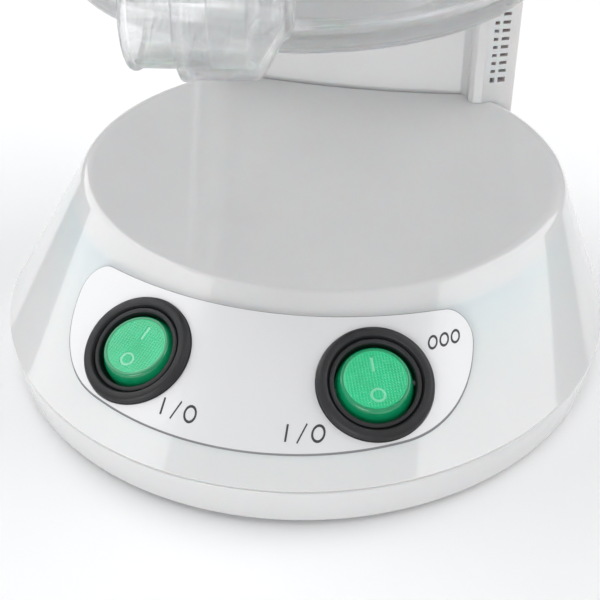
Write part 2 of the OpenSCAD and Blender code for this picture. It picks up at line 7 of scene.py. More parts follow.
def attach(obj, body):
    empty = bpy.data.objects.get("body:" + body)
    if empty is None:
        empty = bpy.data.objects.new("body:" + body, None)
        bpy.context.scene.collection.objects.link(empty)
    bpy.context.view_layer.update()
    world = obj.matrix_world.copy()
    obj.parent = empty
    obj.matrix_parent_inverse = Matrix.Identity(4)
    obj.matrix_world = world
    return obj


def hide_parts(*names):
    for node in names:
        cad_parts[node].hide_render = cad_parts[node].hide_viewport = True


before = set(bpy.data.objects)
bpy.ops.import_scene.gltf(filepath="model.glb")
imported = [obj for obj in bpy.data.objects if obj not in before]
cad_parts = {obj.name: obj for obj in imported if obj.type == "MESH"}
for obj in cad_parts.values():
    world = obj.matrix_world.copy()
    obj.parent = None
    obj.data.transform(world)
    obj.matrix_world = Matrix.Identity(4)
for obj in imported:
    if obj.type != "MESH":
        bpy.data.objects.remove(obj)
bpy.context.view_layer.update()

MM = 0.001
BODY = "console"


# ---------------------------------------------------------------- camera

CAMERA_AT = (0.0624, -0.2671, 0.2100)
CAMERA_LOOK = (-0.183, 0.779, -0.599)
CAMERA_ROLL = -0.69
SENSOR_MM, LENS_MM = 36, 64.2


def make_camera():
    data = bpy.data.cameras.new("camera")
    cam = bpy.data.objects.new("camera", data)
    bpy.context.scene.collection.objects.link(cam)
    fwd = Vector(CAMERA_LOOK).normalized()
    right = fwd.cross(Vector((0, 0, 1))).normalized()
    up = right.cross(fwd)
    roll = math.radians(CAMERA_ROLL)
    r = right * math.cos(roll) + up * math.sin(roll)
    u = up * math.cos(roll) - right * math.sin(roll)
    rot = Matrix((r, u, -fwd)).transposed().to_4x4()
    cam.matrix_world = Matrix.Translation(CAMERA_AT) @ rot
    data.sensor_width = SENSOR_MM
    data.lens = LENS_MM
    data.shift_x = -0.0078
    data.clip_start = 0.01
    bpy.context.scene.camera = cam


make_camera()
bpy.context.scene.view_settings.view_transform = "Standard"


# ---------------------------------------------------------------- materials

def new_mat(name):
    mat = bpy.data.materials.new(name)
    mat.use_nodes = True
    nt = mat.node_tree
    return mat, nt, nt.nodes["Principled BSDF"]


def noise(nt, scale, detail=3.0):
    co = nt.nodes.new("ShaderNodeTexCoord")
    tex = nt.nodes.new("ShaderNodeTexNoise")
    tex.inputs["Scale"].default_value = scale
    tex.inputs["Detail"].default_value = detail
    nt.links.new(co.outputs["Object"], tex.inputs["Vector"])
    return tex


def ramp(nt, source, lo, hi, a=0.35, b=0.65):
    node = nt.nodes.new("ShaderNodeMapRange")
    node.inputs["From Min"].default_value = a
    node.inputs["From Max"].default_value = b
    node.inputs["To Min"].default_value = lo
    node.inputs["To Max"].default_value = hi
    nt.links.new(source, node.inputs["Value"])
    return node.outputs["Result"]


def mix_color(nt, fac, a, b):
    node = nt.nodes.new("ShaderNodeMix")
    node.data_type = "RGBA"
    node.inputs["A"].default_value = (*a, 1)
    node.inputs["B"].default_value = (*b, 1)
    nt.links.new(fac, node.inputs["Factor"])
    return node.outputs["Result"]


def bump(nt, bsdf, height, strength, distance=0.0002):
    node = nt.nodes.new("ShaderNodeBump")
    node.inputs["Strength"].default_value = strength
    node.inputs["Distance"].default_value = distance
    nt.links.new(height, node.inputs["Height"])
    nt.links.new(node.outputs["Normal"], bsdf.inputs["Normal"])


def plastic(name, a, b, rough=(0.25, 0.32), grain=900, grain_strength=0.04, coat=0.0, metal=0.0,
            patch=40, sss=0.0):
    """Moulded plastic or metal: a slow drift of colour, a drift of roughness and a fine grain."""
    mat, nt, bsdf = new_mat(name)
    slow = noise(nt, patch)
    nt.links.new(mix_color(nt, ramp(nt, slow.outputs["Fac"], 0, 1), a, b), bsdf.inputs["Base Color"])
    mid = noise(nt, patch * 5)
    nt.links.new(ramp(nt, mid.outputs["Fac"], rough[0], rough[1]), bsdf.inputs["Roughness"])
    fine = noise(nt, grain, 2.0)
    bump(nt, bsdf, fine.outputs["Fac"], grain_strength)
    bsdf.inputs["Metallic"].default_value = metal
    bsdf.inputs["Coat Weight"].default_value = coat
    bsdf.inputs["Coat Roughness"].default_value = 0.04
    if sss:
        bsdf.inputs["Subsurface Weight"].default_value = sss
        bsdf.inputs["Subsurface Scale"].default_value = 0.004
    return mat


def clear(name, tint, rough, ior, grain, alpha=1.0):
    mat, nt, bsdf = new_mat(name)
    bsdf.inputs["Transmission Weight"].default_value = 1.0
    bsdf.inputs["IOR"].default_value = ior
    bsdf.inputs["Alpha"].default_value = alpha
    slow = noise(nt, 60)
    nt.links.new(mix_color(nt, ramp(nt, slow.outputs["Fac"], 0, 1), tint,
                           tuple(c * 0.985 for c in tint)), bsdf.inputs["Base Color"])
    mid = noise(nt, 200)
    nt.links.new(ramp(nt, mid.outputs["Fac"], rough, rough * 1.6), bsdf.inputs["Roughness"])
    fine = noise(nt, 35, 1.0)
    bump(nt, bsdf, fine.outputs["Fac"], grain, 0.0004)
    return mat


def green(name, a, b, transmission, glow, rough=(0.14, 0.22)):
    mat, nt, bsdf = new_mat(name)
    slow = noise(nt, 160)
    nt.links.new(mix_color(nt, ramp(nt, slow.outputs["Fac"], 0, 1), a, b), bsdf.inputs["Base Color"])
    mid = noise(nt, 900)
    nt.links.new(ramp(nt, mid.outputs["Fac"], rough[0], rough[1]), bsdf.inputs["Roughness"])
    fine = noise(nt, 2500, 1.0)
    bump(nt, bsdf, fine.outputs["Fac"], 0.04)
    bsdf.inputs["Transmission Weight"].default_value = transmission
    bsdf.inputs["IOR"].default_value = 1.5
    bsdf.inputs["Coat Weight"].default_value = 0.6
    bsdf.inputs["Coat Roughness"].default_value = 0.05
    bsdf.inputs["Emission Color"].default_value = (*a, 1)
    bsdf.inputs["Emission Strength"].default_value = glow
    return mat


def brushed(name, a, b, rough=(0.25, 0.4)):
    return plastic(name, a, b, rough, grain=1500, grain_strength=0.08, metal=1.0, patch=120)


M = {
    "white": plastic("white_moulded", (0.73, 0.73, 0.727), (0.715, 0.715, 0.712), (0.13, 0.18),
                     grain=260, grain_strength=0.012, coat=1.0, sss=0.2),
    "panel": plastic("panel_film", (0.79, 0.79, 0.797), (0.765, 0.765, 0.772), (0.2, 0.24),
                     grain=1800, grain_strength=0.004, metal=0.12, coat=0.3, patch=12),
    "edge": plastic("edge_line", (0.22, 0.22, 0.23), (0.27, 0.27, 0.28), (0.3, 0.4)),
    "print": plastic("print_ink", (0.03, 0.03, 0.035), (0.05, 0.05, 0.055), (0.4, 0.5)),
    "black": plastic("black_grained", (0.012, 0.012, 0.013), (0.018, 0.018, 0.02), (0.42, 0.55),
                     grain=1600, grain_strength=0.35),
    "rubber": plastic("rubber_feet", (0.015, 0.015, 0.015), (0.03, 0.03, 0.03), (0.7, 0.85),
                      grain=700, grain_strength=0.3),
    "green": green("green_lens", (0.012, 0.60, 0.26), (0.010, 0.52, 0.21), 0.15, 0.13),
    # darker, dimmer copy of the lens green for the rocker's side walls and rim: painted shade
    "green_side_painted_shade": green("green_side_painted_shade", (0.006, 0.38, 0.16), (0.005, 0.32, 0.13), 0.3, 0.07),
    "green_mark": green("green_mark", (0.22, 0.74, 0.46), (0.19, 0.68, 0.42), 0.05, 0.08),
    "steel": brushed("steel_plain", (0.62, 0.62, 0.63), (0.5, 0.5, 0.51)),
    "sheath": brushed("heater_sheath", (0.42, 0.42, 0.41), (0.3, 0.3, 0.29), (0.35, 0.5)),
    "brass": brushed("brass_plain", (0.72, 0.52, 0.22), (0.6, 0.42, 0.18)),
    "glass": clear("jar_glass", (0.975, 0.985, 0.99), 0.0, 1.5, 0.012, 0.66),
    "poly": clear("spout_clear", (0.965, 0.97, 0.973), 0.004, 1.45, 0.02, 0.6),
    "lamp": clear("lamp_glass", (0.98, 0.93, 0.86), 0.02, 1.45, 0.02),
    "silicone": plastic("silicone", (0.62, 0.62, 0.6), (0.7, 0.7, 0.68), (0.45, 0.6), sss=0.2),
    "board": plastic("solder_mask", (0.02, 0.12, 0.05), (0.03, 0.18, 0.08), (0.3, 0.4), patch=300),
    "potting": plastic("potting", (0.02, 0.02, 0.022), (0.04, 0.04, 0.042), (0.4, 0.55)),
    "relay": plastic("relay_case", (0.03, 0.12, 0.38), (0.04, 0.15, 0.42), (0.3, 0.4)),
    "ceramic": plastic("ceramic", (0.78, 0.75, 0.68), (0.7, 0.67, 0.6), (0.35, 0.5), patch=90),
}


# ---------------------------------------------------------------- mesh tools

def build(name, verts, faces, mat, body=BODY, sharp=35, replaces=(), slot=None):
    me = bpy.data.meshes.new(name)
    me.from_pydata([tuple(c * MM for c in v) for v in verts], [], faces)
    bm = bmesh.new()
    bm.from_mesh(me)
    bmesh.ops.remove_doubles(bm, verts=bm.verts, dist=1e-7)
    bmesh.ops.recalc_face_normals(bm, faces=bm.faces)
    bm.to_mesh(me)
    bm.free()
    obj = bpy.data.objects.new(name, me)
    bpy.context.scene.collection.objects.link(obj)
    me.materials.append(M[mat])
    smooth(me, sharp)
    if body:
        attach(obj, body)
    if replaces:
        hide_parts(*replaces)
    return obj


def smooth(me, sharp):
    me.shade_smooth()
    me.set_sharp_from_angle(angle=math.radians(sharp))


def rings(ring_list, closed_loop=True):
    """Verts and quads from a list of equal rings; closed_loop joins the last ring to the first."""
    verts, faces = [], []
    n = len(ring_list[0])
    for ring in ring_list:
        verts.extend(ring)
    m = len(ring_list)
    for i in range(m if closed_loop else m - 1):
        a, b = i * n, ((i + 1) % m) * n
        for k in range(n):
            q = (k + 1) % n
            faces.append((a + k, a + q, b + q, b + k))
    return verts, faces


def cap(verts, faces, ring_index, n, centre):
    verts.append(centre)
    c = len(verts) - 1
    a = ring_index * n
    for k in range(n):
        faces.append((a + k, a + (k + 1) % n, c))


def lathe(name, profile, mat, place=Matrix(), segs=160, **kw):
    """Turned solid from a closed (radius, height) profile; points on the axis become poles."""
    verts, faces, index = [], [], []
    for r, z in profile:
        if r < 1e-6:
            index.append([len(verts)] * segs)
            verts.append(place @ Vector((0, 0, z)))
        else:
            index.append(list(range(len(verts), len(verts) + segs)))
            for k in range(segs):
                a = 2 * math.pi * k / segs
                verts.append(place @ Vector((r * math.cos(a), r * math.sin(a), z)))
    for i in range(len(profile)):
        a, b = index[i], index[(i + 1) % len(profile)]
        for k in range(segs):
            q = (k + 1) % segs
            f = []
            for v in (a[k], a[q], b[q], b[k]):
                if v not in f:
                    f.append(v)
            if len(f) > 2:
                faces.append(tuple(f))
    return build(name, verts, faces, mat, **kw)


def arc(cx, cy, r, a0, a1, n):
    return [(cx + r * math.cos(math.radians(a0 + (a1 - a0) * i / n)),
             cy + r * math.sin(math.radians(a0 + (a1 - a0) * i / n))) for i in range(n + 1)]


def round_corners(points, n=6):
    """Polygon from (x, y, radius) corners, each rounded by an arc."""
    out = []
    m = len(points)
    for i in range(m):
        p = Vector(points[i][:2])
        rad = points[i][2]
        if rad <= 0:
            out.append(tuple(p))
            continue
        a = Vector(points[i - 1][:2]) - p
        b = Vector(points[(i + 1) % m][:2]) - p
        ua, ub = a.normalized(), b.normalized()
        half = ua.angle(ub) / 2
        if half > math.radians(89):
            out.append(tuple(p))
            continue
        d = min(rad / math.tan(half), a.length * 0.49, b.length * 0.49)
        rad = d * math.tan(half)
        c = p + (ua + ub).normalized() * (rad / math.sin(half))
        s, e = p + ua * d - c, p + ub * d - c
        turn = math.atan2(s.x * e.y - s.y * e.x, s.dot(e))
        for k in range(n + 1):
            w = turn * k / n
            out.append((c.x + s.x * math.cos(w) - s.y * math.sin(w),
                        c.y + s.x * math.sin(w) + s.y * math.cos(w)))
    return out


def prism(name, outline, z0, z1, mat, edge=0.0, **kw):
    """Upright extrusion of an outline, with its top and bottom edges eased by edge."""
    n = len(outline)

    def level(inset, z):
        pts = []
        for i in range(n):
            p = Vector(outline[i])
            d = Vector(outline[(i + 1) % n]) - Vector(outline[i - 1])
            nrm = Vector((d.y, -d.x)).normalized() if d.length > 1e-9 else Vector((0, 0))
            q = p - nrm * inset
            pts.append((q.x, q.y, z))
        return pts
    if edge:
        lv = [level(edge, z0), level(edge * 0.3, z0 + edge * 0.3), level(0, z0 + edge),
              level(0, z1 - edge), level(edge * 0.3, z1 - edge * 0.3), level(edge, z1)]
    else:
        lv = [level(0, z0), level(0, z1)]
    verts, faces = rings(lv, False)
    faces.append(tuple(reversed(range(n))))
    faces.append(tuple(range((len(lv) - 1) * n, len(lv) * n)))
    return build(name, verts, faces, mat, **kw)


def box_mesh(boxes):
    """Verts and faces of several boxes, each given by a function of unit corners."""
    verts, faces = [], []
    for place, lo, hi in boxes:
        b = len(verts)
        for x in (lo[0], hi[0]):
            for y in (lo[1], hi[1]):
                for z in (lo[2], hi[2]):
                    verts.append(place @ Vector((x, y, z)))
        for f in ((0, 1, 3, 2), (4, 6, 7, 5), (0, 4, 5, 1), (2, 3, 7, 6), (0, 2, 6, 4), (1, 5, 7, 3)):
            faces.append(tuple(b + i for i in f))
    return verts, faces


def cutter(verts, faces):
    return build("cutter", verts, faces, "black", body=None)


def carve(obj, cutters, op="DIFFERENCE", sharp=35):
    """Applies booleans and throws the cutters away."""
    for c in cutters:
        mod = obj.modifiers.new("carve", "BOOLEAN")
        mod.operation = op
        mod.solver = "EXACT"
        mod.object = c
    bpy.context.view_layer.update()
    dg = bpy.context.evaluated_depsgraph_get()
    me = bpy.data.meshes.new_from_object(obj.evaluated_get(dg))
    obj.modifiers.clear()
    obj.data = me
    for c in cutters:
        bpy.data.objects.remove(c)
    smooth(me, sharp)
    return obj


# ---------------------------------------------------------------- the base's own geometry

# millimetres in the part's frame
SEAM_R, SEAM_Z = 91.0, 13.1
TOP_A, TOP_B, TOP_Y, TOP_Z, TILT = 77.4, 65.9, 20.4, 44.0, math.radians(4.2)
RIM = 4.0               # radius of the rounded top edge
RIM_DROP = 4.4          # depth of that rounding's centre below the top edge
EASE = 0.5              # how far the rounded edge stays inside the top outline
DISH_DEPTH = 4.95
DISH_LIP = 0.453        # depth at which the rounding runs into the dish
RATIO = (TOP_A - EASE) / (TOP_B - EASE)
TOP_PLACE = Matrix.Translation((0, TOP_Y, TOP_Z)) @ Matrix.Rotation(TILT, 4, "X")
AROUND = [2 * math.pi * k / 256 for k in range(256)]
SWITCH_TURN, SWITCH_UP = 22.7, 0.53
SEAT_R = 12.15          # radius of the hole under each switch
TRIM_R = 15.4
TRIM_SINK = 1.4         # depth of the trim ring's seat
JAR_AXIS = Matrix.Translation((0, 6.5, 0))
RISER_AXIS = Matrix.Translation((0, -74, 0))
SPOUT_Z, SPOUT_TURN = 130.8, math.radians(188)
COLUMN_W, BACK_R = 56.0, 90.0
COLUMN_TOP = 205.0


def seam_point(t):
    return Vector((SEAM_R * math.sin(t), -SEAM_R * math.cos(t), SEAM_Z))


def top_point(t):
    return TOP_PLACE @ Vector((TOP_A * math.sin(t), -TOP_B * math.cos(t), 0))


def slope_point(t, s, lift=0.0):
    """Point of the sloping wall at angle t, place s, lifted off the surface."""
    p = seam_point(t).lerp(top_point(t), s)
    if not lift:
        return p
    d = 0.004
    along = seam_point(t + d).lerp(top_point(t + d), s) - seam_point(t - d).lerp(top_point(t - d), s)
    nrm = along.cross(top_point(t) - seam_point(t)).normalized()
    return p + nrm * lift


def switch_place(side):
    t = side * math.radians(SWITCH_TURN)
    s = SWITCH_UP
    d = math.radians(0.5)
    x = (slope_point(t + d, s) - slope_point(t - d, s)).normalized()
    z = x.cross(top_point(t) - seam_point(t)).normalized()
    y = z.cross(x)
    m = Matrix((x, y, z)).transposed().to_4x4()
    return Matrix.Translation(slope_point(t, s)) @ m


SWITCH = {-1: switch_place(-1), 1: switch_place(1)}

COLUMN_FRONT = [(0, 71.5, 0), (38.4, 71.5, 1.2), (40.6, 69.6, 1.6), (41.6, 66.6, 2.0),
                (43.2, 65.6, 1.4), (46.2, 65.5, 1.4), (55.0, 69.5, 0), (56.0, 70.4, 0.8)]


def column_outline(grow=0.0):
    """The column seen from above, grown for the notch that the base leaves around it."""
    right = [(x + (grow if x > 45 and y < 71 else 0), y - grow, r) for x, y, r in COLUMN_FRONT]
    left = [(-x, y, r) for x, y, r in reversed(right[1:])]
    rear = []
    edge = math.asin(COLUMN_W / BACK_R)
    for i in range(33):
        a = edge * (1 - i / 16)
        rear.append(((BACK_R + grow) * math.sin(a), (BACK_R + grow) * math.cos(a), 0))
    return round_corners(left + right + rear, 5)


def rim_section(t):
    """Section of the rounded top edge at angle t: the rounding's centre, its outward and upward
    directions, the wall's foot and the angle at which the wall runs into the rounding."""
    rim_b = TOP_B - EASE - RIM
    centre = TOP_PLACE @ Vector((RATIO * rim_b * math.sin(t), -rim_b * math.cos(t), -RIM_DROP))
    e = TOP_PLACE.to_3x3() @ Vector((RATIO * math.sin(t), -math.cos(t), 0))
    up = TOP_PLACE.to_3x3() @ Vector((0, 0, 1))
    foot = seam_point(t) + Vector((0, 0, 0.6))
    v = foot - centre
    x, y = v.dot(e.normalized()) / e.length, v.dot(up)
    return centre, e, up, foot, math.atan2(y, x) + math.acos(RIM / math.hypot(x, y))


def inward(t, d, rise=0.0):
    return Vector((-d * math.sin(t), d * math.cos(t), rise))


def dish_ring(rho, height):
    return [TOP_PLACE @ Vector((RATIO * rho * math.sin(t), -rho * math.cos(t), height)) for t in AROUND]


def base_outside():
    """Rings of the outside, from the seam up the wall, over the rounded edge and into the dish."""
    out = [[seam_point(t) + inward(t, 0.5, 0.05) for t in AROUND],
           [seam_point(t) + inward(t, 0.12, 0.2) for t in AROUND]]
    sections = [rim_section(t) for t in AROUND]
    for s in (0.0, 0.06, 0.15, 0.3, 0.45, 0.6, 0.75, 0.88, 0.96):
        out.append([foot.lerp(c + (e * math.cos(a) + up * math.sin(a)) * RIM, s)
                    for c, e, up, foot, a in sections])
    last = math.radians(99.3)
    for i in range(13):
        ring = []
        for c, e, up, foot, a0 in sections:
            a = a0 + (last - a0) * i / 12
            ring.append(c + (e * math.cos(a) + up * math.sin(a)) * RIM)
        out.append(ring)
    edge = TOP_B - EASE - RIM - RIM * math.sin(last - math.pi / 2)
    for i in range(1, 24):
        rho = edge * (1 - i / 24)
        out.append(dish_ring(rho, -DISH_LIP - DISH_DEPTH * (1 - (rho / edge) ** 2)))
    return out, edge


def base_inside(edge):
    inner = []
    for s, wall in ((0.0, 2.6), (0.3, 2.7), (0.6, 2.8), (0.82, 3.2)):
        inner.append([slope_point(t, s) + inward(t, 1) * wall for t in AROUND])
    inner.append(dish_ring(TOP_B - 12, -6.5))
    for i in range(1, 7):
        rho = (TOP_B - 12) * (1 - i / 7)
        inner.append(dish_ring(rho, -3.8 - DISH_DEPTH * (1 - (rho / edge) ** 2)))
    return inner


def make_base_shell():
    n = len(AROUND)
    out, edge = base_outside()
    verts, faces = rings(out, False)
    cap(verts, faces, len(out) - 1, n, TOP_PLACE @ Vector((0, 0, -5.4)))
    base = len(verts)
    inner = base_inside(edge)
    v2, f2 = rings(inner, False)
    cap(v2, f2, len(inner) - 1, n, TOP_PLACE @ Vector((0, 0, -8.75)))
    verts.extend(v2)
    faces.extend(tuple(i + base for i in f) for f in f2)
    for k in range(n):
        q = (k + 1) % n
        faces.append((k, q, base + q, base + k))
    obj = build("base_shell_visible", verts, faces, "white", body=None)
    seat = TRIM_R + 0.25
    prof = [(0, -30), (SEAT_R, -30), (SEAT_R, -TRIM_SINK), (seat, -TRIM_SINK), (seat, 14), (0, 14)]
    cuts = [lathe("cutter", prof, "black", SWITCH[side], 128, body=None) for side in (-1, 1)]
    cuts.append(prism("cutter", column_outline(0.25), 5, 90, "black", body=None))
    back = [(-56.25, 70), (56.25, 70), (56.25, 100), (-56.25, 100)]
    cuts.append(prism("cutter", back, 5, 91, "black", body=None))
    carve(obj, cuts, sharp=32)
    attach(obj, BODY)
    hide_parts("base_shell")


def make_base_plate():
    prof = [(0, 1.5), (88.9, 1.5)] + arc(89.0, 2.6, 1.1, -90, -8, 6)
    prof += [(90.85, 12.2)] + arc(90.3, 12.25, 0.6, 0, 80, 5) + [(88.4, 12.95), (88.3, 12.3)]
    prof += [(88.2, 4.6), (87.4, 3.7), (0, 3.7)]
    lathe("base_ring", prof, "white", segs=256, replaces=("base_plate",), slot="white_gloss")
    for k in range(4):
        a = math.radians(90 * k)
        place = Matrix.Translation((80 * math.sin(a), -80 * math.cos(a), 0))
        prof = [(0, 0), (5.2, 0)] + arc(5.4, 0.8, 0.8, -90, 0, 4) + [(6.4, 1.2), (6.4, 1.5), (0, 1.5)]
        lathe("foot_%d" % k, prof, "rubber", place, 64, slot="rubber_black")
    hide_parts("rubber_feet")


# ---------------------------------------------------------------- panel

END_TURN = math.radians(30.5)    # place of the crescent's two wide ends
END_AT, END_R = 55, 28
CORNER_R = 6
HOLLOW_Y, HOLLOW_R = 51.3, 101
PANEL_TOP = 0.55                  # how far the film stands off the wall


def panel_outline(inset=0.0):
    """Crescent seen from above: a front arc, two wide end arcs, two small corners, a hollow rear arc."""
    end = Vector((END_AT * math.sin(END_TURN), -END_AT * math.cos(END_TURN)))
    hollow = Vector((0, HOLLOW_Y))
    to_hollow = hollow - end
    d = to_hollow.length
    a = ((END_R - CORNER_R) ** 2 - (HOLLOW_R + CORNER_R) ** 2 + d * d) / (2 * d)
    h = math.sqrt((END_R - CORNER_R) ** 2 - a * a)
    along = to_hollow / d
    corner = end + along * a + Vector((along.y, -along.x)) * h
    pts = []

    def add(c, r, a0, a1, count):
        for i in range(count):
            w = a0 + (a1 - a0) * i / count
            pts.append((c.x + r * math.cos(w), c.y + r * math.sin(w)))
    low = -math.pi / 2
    mid = END_TURN - math.pi / 2
    to_corner = math.atan2(corner.y - end.y, corner.x - end.x)
    from_hollow = math.atan2(corner.y - hollow.y, corner.x - hollow.x)
    add(Vector((0, 0)), END_AT + END_R - inset, low, mid, 48)
    add(end, END_R - inset, mid, to_corner, 48)
    add(corner, CORNER_R - inset, to_corner, from_hollow + math.pi, 14)
    add(hollow, HOLLOW_R + inset, from_hollow, low, 48)
    pts.append((0, HOLLOW_Y - HOLLOW_R - inset))
    return pts + [(-x, y) for x, y in reversed(pts[1:-1])]


def slope_slab(low, high):
    """Slab on the front of the sloping wall, between two heights off its surface."""
    t_half, nt, ns = 47, 160, 24
    s0, s1 = 0.05, 0.97
    verts, faces = [], []
    for lift in (low, high):
        for j in range(ns + 1):
            for i in range(nt + 1):
                t = math.radians(-t_half + 2 * t_half * i / nt)
                verts.append(slope_point(t, s0 + (s1 - s0) * j / ns, lift))
    w = nt + 1
    m = w * (ns + 1)
    for j in range(ns):
        for i in range(nt):
            a = j * w + i
            faces.append((a, a + w, a + w + 1, a + 1))
            faces.append((m + a, m + a + 1, m + a + w + 1, m + a + w))
    edge = list(range(w)) + [j * w + nt for j in range(1, ns + 1)]
    edge += [ns * w + i for i in range(nt - 1, -1, -1)] + [j * w for j in range(ns - 1, 0, -1)]
    for k in range(len(edge)):
        a, b = edge[k], edge[(k + 1) % len(edge)]
        faces.append((a, b, m + b, m + a))
    return verts, faces


def stroke(t0, s0, pts, width):
    """Thin printed line through (u, v) millimetre points around a place on the slope."""
    verts, faces = [], []
    for i, (u, v) in enumerate(pts):
        a = Vector(pts[max(i - 1, 0)])
        b = Vector(pts[min(i + 1, len(pts) - 1)])
        d = (b - a).normalized()
        nrm = Vector((-d.y, d.x)) * width / 2
        for lift in (PANEL_TOP - 0.01, PANEL_TOP + 0.05):
            for sgn in (-1, 1):
                uu, vv = u + nrm.x * sgn, v + nrm.y * sgn
                verts.append(slope_point(math.radians(t0) + uu / 82.0, s0 + vv / 36.0, lift))
    for i in range(len(pts) - 1):
        k = 4 * i
        for a, b in ((0, 1), (1, 3), (3, 2), (2, 0)):
            faces.append((k + a, k + b, k + 4 + b, k + 4 + a))
    faces.append((0, 1, 3, 2))
    e = 4 * (len(pts) - 1)
    faces.append((e, e + 2, e + 3, e + 1))
    return verts, faces


def mark(name, t0, s0, strokes):
    verts, faces = [], []
    for pts, width in strokes:
        v, f = stroke(t0, s0, pts, width)
        faces.extend(tuple(i + len(verts) for i in q) for q in f)
        verts.extend(v)
    build(name, verts, faces, "print", slot="black_trim")


def circle(cx, r, n):
    return [(cx + r * math.cos(2 * math.pi * i / n), r * math.sin(2 * math.pi * i / n)) for i in range(n + 1)]


def make_panel():
    v, f = slope_slab(-0.05, PANEL_TOP)
    film = build("panel_film", v, f, "panel", body=None)
    carve(film, [prism("cutter", panel_outline(0.2), 0, 60, "black", body=None)], "INTERSECT", 40)
    hole = TRIM_R + 0.2
    holes = [lathe("cutter", [(0, -6), (hole, -6), (hole, 14), (0, 14)], "black", SWITCH[side], 128,
                   body=None) for side in (-1, 1)]
    carve(film, holes, sharp=40)
    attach(film, BODY)
    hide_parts("control_panel")
    v, f = slope_slab(-0.05, PANEL_TOP - 0.05)
    line = build("panel_border", v, f, "edge", body=None)
    outer, inner = panel_outline(0.0), panel_outline(0.26)
    loops = [[(x, y, z) for x, y in outline] for outline, z in
             ((outer, 0), (outer, 60), (inner, 60), (inner, 0))]
    carve(line, [cutter(*rings(loops))], "INTERSECT", 40)
    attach(line, BODY)
    # generic marks: a bar, a slash and a ring by each switch, three small rings for the ozone lamp
    power = [(circle(3.9, 1.45, 40), 0.5), ([(-3.7, -1.6), (-3.7, 1.6)], 0.5),
             ([(-0.9, -1.8), (0.9, 1.8)], 0.36)]
    mark("mark_left_power", -11.4, 0.31, power)
    mark("mark_right_power", 10.9, 0.29, power)
    mark("mark_ozone", 35.9, 0.70, [(circle(cx, 1.2, 32), 0.5) for cx in (-3.4, 0, 3.4)])


# ---------------------------------------------------------------- switches

def make_switch(side, name):
    place = SWITCH[side]
    ring = [(13.3, -TRIM_SINK), (TRIM_R, -TRIM_SINK), (TRIM_R, 0.7)] + arc(TRIM_R - 1.5, 0.8, 1.5, 0, 90, 10)
    ring += arc(13.1, 1.75, 0.55, 90, 180, 6) + [(12.25, 1.3), (12.2, -0.4), (13.3, -0.4)]
    lathe(name + "_trim_visible", ring, "black", place, 160, replaces=(name + "_trim_ring",),
          slot="black_trim")
    lip = [(0, -16), (11.9, -16), (11.9, -TRIM_SINK), (13.15, -TRIM_SINK), (13.15, -0.45), (12.1, -0.4),
           (12.1, 1.1)] + arc(11.6, 1.1, 0.5, 0, 90, 6) + arc(11.2, 1.1, 0.5, 90, 180, 6)
    lip += [(10.7, 0.6), (10.7, -14.5), (0, -14.5)]
    lathe(name + "_housing_visible", lip, "black", place, 160, replaces=(name + "_switch_housing",),
          slot="black_trim")
    make_rocker(name, place)


BALL_R, LENS_R, BALL_LOW = 10.35, 9.0, 4.0
LENS_UP = math.sqrt(BALL_R * BALL_R - LENS_R * LENS_R)
TEXTURE_R, TEXTURE_PITCH = 8.0, 0.8


def on_mark(x, y):
    """Whether a point of the lens lies on the engraved bar or on the engraved ring."""
    bar = abs(x) < 0.36 and 2.3 < y < 6.4
    return bar or abs(math.hypot(x, y + 4.3) - 1.7) < 0.36


def lens_height(x, y):
    """Top face: raised clear rim, tiny pyramids, an engraved bar up the slope and a ring below."""
    r = math.hypot(x, y)
    edge = max(0.0, (r - 8.65) / 0.4)
    z = LENS_UP - 0.18 * edge * edge
    if r < 8.1:
        z -= 0.12
    elif r < 8.3:
        z -= 0.12 * (8.3 - r) / 0.2
    gx = abs(((x / TEXTURE_PITCH) % 1) - 0.5) * 2
    gy = abs(((y / TEXTURE_PITCH) % 1) - 0.5) * 2
    if on_mark(x, y):
        return z - 0.22
    return z + (0.13 * (min(gx, gy) - 0.5) if r < TEXTURE_R else 0)


def make_rocker(name, place):
    tip = place @ Matrix.Translation((0, 0, -3)) @ Matrix.Rotation(math.radians(-8), 4, "X")
    segs, steps = 288, 100
    turns = [(math.cos(2 * math.pi * k / segs), math.sin(2 * math.pi * k / segs)) for k in range(segs)]
    ring_list = []
    a0 = math.asin(-BALL_LOW / BALL_R)
    a1 = math.asin(LENS_UP / BALL_R) - 0.03
    for i in range(13):
        a = a0 + (a1 - a0) * i / 12
        r, z = BALL_R * math.cos(a), BALL_R * math.sin(a)
        ring_list.append([tip @ Vector((r * c, r * s, z)) for c, s in turns])
    for j in range(steps):
        r = (LENS_R + 0.01) * (1 - j / steps)
        ring_list.append([tip @ Vector((r * c, r * s, lens_height(r * c, r * s))) for c, s in turns])
    verts, faces = rings(ring_list, False)
    cap(verts, faces, len(ring_list) - 1, segs, tip @ Vector((0, 0, lens_height(0, 0))))
    cap(verts, faces, 0, segs, tip @ Vector((0, 0, -BALL_LOW)))
    obj = build(name + "_rocker_visible", verts, faces, "green", body=name + "_rocker_body",
                replaces=(name + "_rocker",), slot="green_lens", sharp=24)
    # second slot: the darker side-wall green, painted shade
    obj.data.materials.append(M["green_side_painted_shade"])
    obj.data.materials.append(M["green_mark"])
    back = tip.inverted()
    for poly in obj.data.polygons:
        c = back @ (poly.center / MM)
        # the side walls and the rim outside the textured top take the darker green copy: painted shade
        if c.z < LENS_UP - 0.6 or math.hypot(c.x, c.y) > TEXTURE_R + 0.2:
            poly.material_index = 1
        elif on_mark(c.x, c.y):
            poly.material_index = 2


# ---------------------------------------------------------------- column

SPLIT_Y = 76                      # where the front and the back half of the column meet
VENT_ROWS, VENT_PITCH, VENT_Z = 26, 2.8, 53.8
VENT_TURN = math.radians(24.4)    # slant of the flanks that carry the vents


